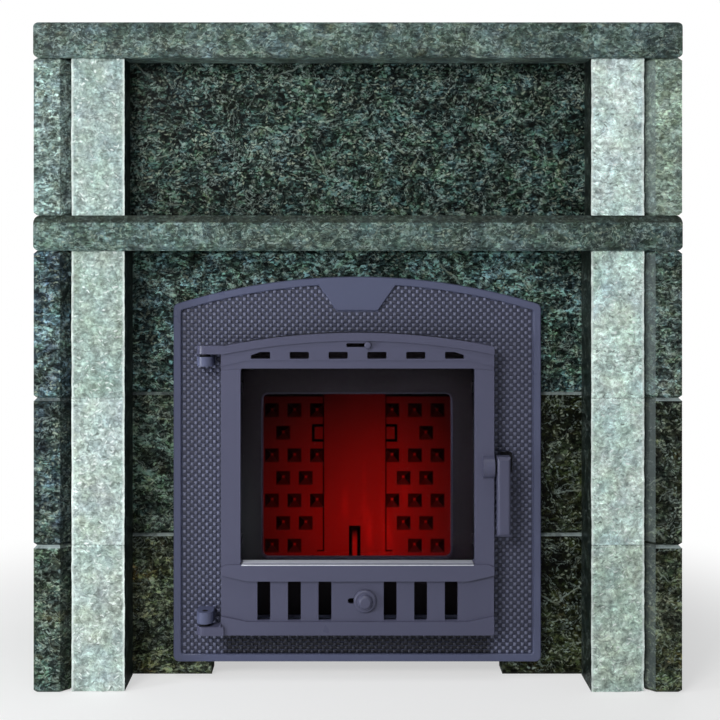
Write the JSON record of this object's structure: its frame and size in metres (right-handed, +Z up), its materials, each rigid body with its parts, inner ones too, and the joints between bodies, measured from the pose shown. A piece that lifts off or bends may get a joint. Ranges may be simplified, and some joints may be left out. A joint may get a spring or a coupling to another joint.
{
  "type": "stone fireplace surround",
  "caption": "Stone fireplace surround with split-face pilasters, shelf and cornice around an arched cast-iron fire door with air slides and a lined firebox.",
  "frame": {"origin": "centre of the footprint, on the floor plane", "axes": "+X to the right seen from the front, +Y to the back (the wall side), +Z up"},
  "size_m": [0.88, 0.45, 0.91],
  "materials": {
    "green_stone": "honed dark green serpentine with pale fibres",
    "shelf_stone": "honed mid grey-green serpentine",
    "pale_stone": "split-face pale green stone",
    "door_iron": "satin blue-grey heat-proof coat",
    "firebox_iron": "dull black casting",
    "glowing_iron": "casting glowing dull red",
    "black_steel": "matt black stove paint",
    "bright_steel": "zinc plated",
    "fire_glass": "clear ceramic glass",
    "rope_seal": "braided glass-fibre rope"
  },
  "bodies": {
    "casing": {"back_plate": "glowing_iron", "belt_front": "shelf_stone", "belt_left": "shelf_stone", "belt_right": "shelf_stone", "casing_screws": "bright_steel", "cheek_left": "firebox_iron", "cheek_right": "firebox_iron", "corner_brackets": "black_steel", "cornice_front": "shelf_stone", "cornice_left": "shelf_stone", "cornice_rear": "shelf_stone", "cornice_right": "shelf_stone", "door_frame": "door_iron", "firebox_floor": "firebox_iron", "firebox_grate": "firebox_iron", "firebox_stand": "black_steel", "flue_collar": "firebox_iron", "flue_panel": "glowing_iron", "flue_pipe": "black_steel", "frame_bolts": "bright_steel", "frieze_panel": "green_stone", "hinge_pins": "bright_steel", "jamb_left_1": "green_stone", "jamb_left_2": "green_stone", "jamb_right_1": "green_stone", "jamb_right_2": "green_stone", "latch_keeper": "bright_steel", "lintel_panel": "green_stone", "mouth_plate": "firebox_iron", "pilaster_left_1": "pale_stone", "pilaster_left_2": "pale_stone", "pilaster_left_3": "pale_stone", "pilaster_left_4": "pale_stone", "pilaster_right_1": "pale_stone", "pilaster_right_2": "pale_stone", "pilaster_right_3": "pale_stone", "pilaster_right_4": "pale_stone", "rear_shield": "black_steel", "side_slab_left_1": "green_stone", "side_slab_left_2": "green_stone", "side_slab_left_3": "green_stone", "side_slab_left_4": "green_stone", "side_slab_right_1": "green_stone", "side_slab_right_2": "green_stone", "side_slab_right_3": "green_stone", "side_slab_right_4": "green_stone", "top_plate": "firebox_iron"},
    "door": {"door_leaf": "door_iron", "door_glass": "fire_glass", "glass_gasket": "rope_seal", "glass_clips": "bright_steel", "clip_screws": "bright_steel", "door_gasket": "rope_seal", "shutter_guides": "bright_steel"},
    "latch": {"latch_lever": "door_iron", "latch_axle": "bright_steel"},
    "lower_slide": {"lower_shutter": "bright_steel", "lower_knob": "door_iron"},
    "upper_slide": {"upper_shutter": "bright_steel", "upper_pin": "bright_steel"}
  },
  "joints": [
    {"name": "door_hinge", "type": "hinge", "parent": "casing", "child": "door", "pos_m": [-0.2116, -0.1815, 0.27], "axis": [0, 0, -1], "range_deg": [0, 115]},
    {"name": "latch_lift", "type": "hinge", "parent": "door", "child": "latch", "pos_m": [0.195, -0.186, 0.301], "axis": [-1, 0, 0], "range_deg": [0, 60]},
    {"name": "lower_air", "type": "slide", "parent": "door", "child": "lower_slide", "axis": [-1, 0, 0], "range_m": [0, 0.02]},
    {"name": "upper_air", "type": "slide", "parent": "door", "child": "upper_slide", "axis": [-1, 0, 0], "range_m": [0, 0.027]}
  ]
}
